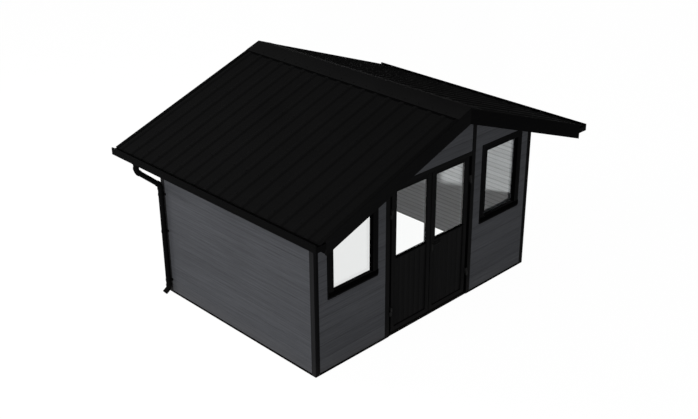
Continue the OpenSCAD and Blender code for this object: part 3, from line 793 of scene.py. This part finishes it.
def dressWindow(side, look):
    node = side + "_window_frame"
    low, high = (Vector(corner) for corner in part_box(node))
    glassLow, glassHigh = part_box(side + "_window_glass")
    frame = softened(node, look["frameEdge"], "shed", windowPaint)
    edges = [abs(glassLow[0]), abs(glassHigh[0])]
    # the frame's sides beside the glass are black: painted shade in the reveals
    lineFaces(frame, sealAndPaintedShade, lambda place, normal: isSide(place, normal, *edges))
    bead = softened(side + "_window_bead", look["beadEdge"], "shed", windowPaint)
    # the bead's sides are black: painted shade beside the glass
    lineFaces(bead, sealAndPaintedShade, lambda place, normal: abs(normal.x) > 0.9)
    # the sash stands a little proud of its frame
    back, front = low.y + look["sink"], low.y - look["sashRise"]
    across = (high.x - low.x) / 2 - (glassHigh[0] - glassLow[0]) / 2
    addRing(side + "_window_sash", low, high,
            [(look["sashInset"], back), (look["sashInset"], front + look["sashLip"]),
             (look["sashInset"] + look["sashCorner"], front), (across - look["rebateWidth"], front),
             (across - look["glassMargin"], low.y), (across - look["glassMargin"], back)],
            "shed", windowPaint)
    # a black weather bar across the sash's foot: seal and painted shade under the sash
    addStrips(side + "_window_weather_bar",
              [((low.x + look["barSide"], front - look["barRise"], low.z + look["barLow"]),
                (high.x - look["barSide"], back, low.z + look["barHigh"]))],
              look["barEdge"], "shed", sealAndPaintedShade)
    # black sealant round the frame: sealant and painted shade where the frame meets the wall
    rim = Vector((look["sealant"], 0, look["sealant"]))
    inner = look["sealant"] + look["sealantSink"]
    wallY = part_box("front_wall_" + side)[0][1]
    addRing(side + "_window_sealant", low - rim, high + rim,
            [(0, wallY + look["sealantSink"]), (inner, wallY - look["sealant"]),
             (inner, wallY + look["sealantSink"])], "shed", sealAndPaintedShade)


for side in ("left", "right"):
    dressLeaf(side, leafDetail)
    dressWindow(side, windowDetail)
    paint(side + "_leaf_glass", doorGlass)
    paint(side + "_leaf_hinges", hingeSteel)
    paint(side + "_window_glass", windowGlass)
paint("hinge_pins", hingeSteel)
softened("door_handle", 0.002, "right_leaf", handleCoat)
# a black strip between the leaves: seal and painted shade of the gap in one
meetingSeal = {"sink": 0.0005, "reach": 0.006, "inset": 0.004, "endInset": 0.002, "edge": 0.001}
leafLow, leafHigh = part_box("left_leaf_frame")
addStrips("meeting_seal",
          [((leafHigh[0] - meetingSeal["sink"], leafLow[1] + meetingSeal["inset"],
             leafLow[2] + meetingSeal["endInset"]),
            (leafHigh[0] + meetingSeal["reach"], leafHigh[1] - meetingSeal["inset"],
             leafHigh[2] - meetingSeal["endInset"]))],
          meetingSeal["edge"], "left_leaf", sealAndPaintedShade)
print("door leaves and windows done")

timberEdge = {"post": 0.0025, "beam": 0.002, "base": 0.0015, "board": 0.0025}
for node in ("post_front_left", "post_front_right", "post_back_left", "post_back_right"):
    softened(node, timberEdge["post"], "shed", cornerPaint)
for node in ("door_post_left", "door_post_right"):
    # the jamb's sides and stop face are black: painted shade in the gap beside the leaves
    lineFaces(softened(node, timberEdge["post"], "shed", uprightPaint), sealAndPaintedShade,
              lambda place, normal: isSide(place, normal, jambHalf)
              or (normal.y < -0.9 and abs(place.y - jambFace) < 0.001))
head = softened("door_head", timberEdge["post"], "shed", railPaintX)
# the head's underside and the strip above the leaves are black: painted shade over the leaves
lineFaces(head, sealAndPaintedShade, lambda place, normal: normal.z < -0.9
          or (normal.y < -0.9 and place.z < leafHigh[2] + 0.01))
softened("base_rails", timberEdge["base"], "shed", basePaint)
for node in ("wall_plates", "purlins", "ridge_beam"):
    softened(node, timberEdge["beam"], "shed", railPaintY)
for node, coat in (("bargeboards_left", bargePaintLeftLit), ("bargeboards_right", bargePaint),
                   ("fascias", fasciaPaint)):
    softened(node, timberEdge["board"], "shed", coat)
print("timbers done")

# depths are square to the slope, down from the cap's top; the filler's profile starts at the cap's edge
roofDetail = {
    "slope": 20.0, "ribs": 17, "ribStep": 0.2165, "crownDepth": 0.0041, "sheetEdge": 0.0012,
    "lines": (0.30, 1.0, 1.95, 2.27), "capLine": 0.185, "capDepth": 0.0002, "fillerEnd": 0.03,
    "filler": [(0.018, 0.0185), (0.014, 0.0035), (-0.0005, 0.0027), (-0.0015, 0.0038),
               (-0.03, 0.0044), (-0.03, 0.0185)],
}
roofScrew = {"head": 0.008, "headHeight": 0.005, "washer": 0.018, "washerHeight": 0.002}


def addBar(name, outlines, body, material):
    # a closed bar between two outlines of equal count
    solid = bmesh.new()
    rings = [[solid.verts.new(corner) for corner in outline] for outline in outlines]
    count = len(rings[0])
    for index in range(count):
        after = (index + 1) % count
        solid.faces.new((rings[0][index], rings[0][after], rings[1][after], rings[1][index]))
    for ring in rings:
        solid.faces.new(ring)
    bmesh.ops.recalc_face_normals(solid, faces=solid.faces)
    finishPiece(name, solid, body, material)


def dressRoof(look):
    slope = math.radians(look["slope"])
    roofLow, roofHigh = cadBounds[0], cadBounds[1]
    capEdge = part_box("ridge_cap")[1][0]

    def onRoof(hand, x, y, depth):
        z = roofHigh[2] - abs(x) * math.tan(slope) - depth / math.cos(slope)
        return hand * x, y, z

    ribs = [roofLow[1] + look["ribStep"] * (count + 1) for count in range(look["ribs"])]
    for side, hand in (("left", -1), ("right", 1)):
        # the ribs' edges are low, so they are rounded and kept crisp from small angles
        sheet = softened("roof_" + side, look["sheetEdge"], "shed", roofSteel[side],
                         segments=1, roundFrom=12, flatFrom=5)
        lineFaces(sheet, deckPaint, lambda place, normal: normal.z < -0.5)
        turn = (0, hand * slope, 0)
        points = [onRoof(hand, x, y, look["crownDepth"]) for x in look["lines"] for y in ribs]
        addScrews("roof_screws_" + side, points, roofScrew, turn, 4, "shed", vergeSteel)
        points = [onRoof(hand, look["capLine"], y, look["capDepth"]) for y in ribs]
        addScrews("cap_screws_" + side, points, roofScrew, turn, 8, "shed", vergeSteel)
        # foam that closes the pans under the edge of the cap and laps the ribs; it reaches past the
        # cap's edge as a dark band of painted shade
        sheetLow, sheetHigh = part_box("roof_" + side)
        ends = (sheetLow[1] + look["fillerEnd"], sheetHigh[1] - look["fillerEnd"])
        addBar("cap_filler_" + side,
               [[onRoof(hand, capEdge + reach, y, depth) for reach, depth in look["filler"]]
                for y in ends], "shed", fillerFoamAndShade)


dressRoof(roofDetail)
flashingEdge = 0.001
softened("ridge_cap", flashingEdge, "shed", capSteel)
softened("verge_flashing", flashingEdge, "shed", vergeSteel)
for node in ("gutter_left", "gutter_right"):
    paint(node, gutterSteel)
for node in ("downpipe_left", "downpipe_right", "pipe_clips"):
    paint(node, pipeSteel)
gutterStraps = {"width": 0.025, "first": 0.315, "step": 0.63, "count": 6, "height": 0.048,
                "thickness": 0.0025, "inset": 0.002, "edge": 0.0008}


def strapGutters(look):
    boxes = []
    for side in ("left", "right"):
        low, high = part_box("gutter_" + side)
        z = low[2] + look["height"]
        for count in range(look["count"]):
            y = low[1] + look["first"] + count * look["step"]
            boxes.append(((low[0] + look["inset"], y, z),
                          (high[0] - look["inset"], y + look["width"], z + look["thickness"])))
    addStrips("gutter_straps", boxes, look["edge"], "shed", gutterSteel)


strapGutters(gutterStraps)
print("roof and gutters done")

stageLook = {"floorSize": 60.0, "floorDrop": 0.001, "cover": 0.92, "white": 1.06, "world": 0.18,
             "floorColour": (0.86, 0.86, 0.86, 1)}
keySun = {"turn": 51, "rise": 7.3, "strength": 1.6, "softness": 3.0, "distance": 9, "aim": (0, 0, 1)}
leftPanel = {"place": (-9, -1.5, 5.5), "aim": (-2, 0, 1.4), "size": (5, 5), "power": 205}
backPanel = {"place": (-7, 8, 6), "aim": (0, 0, 2), "size": (5, 5), "power": 500}


def seenRays(tree):
    # 1 for rays from the eye, straight, mirrored or through glass
    rays = addNode(tree, "ShaderNodeLightPath").outputs
    seen = calculate(tree, "ADD", rays["Is Camera Ray"], rays["Is Glossy Ray"], clamp=True)
    return calculate(tree, "ADD", seen, rays["Is Transmission Ray"], clamp=True)


def makeFloor(look):
    mesh = bpy.data.meshes.new("studioFloor")
    half, z = look["floorSize"] / 2, -look["floorDrop"]
    corners = [(-half, -half, z), (half, -half, z), (half, half, z), (-half, half, z)]
    mesh.from_pydata(corners, [], [(0, 1, 2, 3)])
    floor = bpy.data.objects.new("studioFloor", mesh)
    scene.collection.objects.link(floor)
    material = bpy.data.materials.new("paleFloor")
    material.use_nodes = True
    tree = material.node_tree
    shader = tree.nodes["Principled BSDF"]
    shader.inputs["Base Color"].default_value = look["floorColour"]
    shader.inputs["Roughness"].default_value = 1.0
    shader.inputs["Specular IOR Level"].default_value = 0.0
    white = addNode(tree, "ShaderNodeEmission", {"Color": (1, 1, 1, 1), "Strength": look["white"]})
    amount = calculate(tree, "MULTIPLY", seenRays(tree), look["cover"])
    mixed = addNode(tree, "ShaderNodeMixShader",
                    {0: amount, 1: shader.outputs[0], 2: white.outputs[0]})
    tree.links.new(mixed.outputs[0], tree.nodes["Material Output"].inputs["Surface"])
    mesh.materials.append(material)


def makeWorld(strength):
    world = bpy.data.worlds.new("studioWorld")
    scene.world = world
    world.use_nodes = True
    tree = world.node_tree
    background = tree.nodes["Background"]
    background.inputs["Color"].default_value = (1, 1, 1, 1)
    level = addNode(tree, "ShaderNodeMapRange", {
        "Value": seenRays(tree), "To Min": strength, "To Max": 1.0})
    tree.links.new(level.outputs["Result"], background.inputs["Strength"])


def aimAt(lamp, target):
    direction = Vector(target) - lamp.location
    lamp.rotation_euler = direction.to_track_quat("-Z", "Y").to_euler()


def addSun(name, look):
    data = bpy.data.lights.new(name, "SUN")
    data.energy = look["strength"]
    data.angle = math.radians(look["softness"])
    lamp = bpy.data.objects.new(name, data)
    scene.collection.objects.link(lamp)
    turn, rise = math.radians(look["turn"]), math.radians(look["rise"])
    back = look["distance"] * math.cos(rise)
    lamp.location = (-back * math.sin(turn), -back * math.cos(turn),
                     look["distance"] * math.sin(rise) + look["aim"][2])
    aimAt(lamp, look["aim"])


def addPanel(name, look):
    data = bpy.data.lights.new(name, "AREA")
    data.shape = "RECTANGLE"
    data.size, data.size_y = look["size"]
    data.energy = look["power"]
    lamp = bpy.data.objects.new(name, data)
    scene.collection.objects.link(lamp)
    lamp.location = look["place"]
    aimAt(lamp, look["aim"])
    lamp.visible_camera = False
    lamp.visible_glossy = False
    lamp.visible_transmission = False


makeFloor(stageLook)
makeWorld(stageLook["world"])
addSun("keySun", keySun)
addPanel("leftPanel", leftPanel)
addPanel("backPanel", backPanel)
print("stage done")

scene.view_settings.view_transform = "Standard"
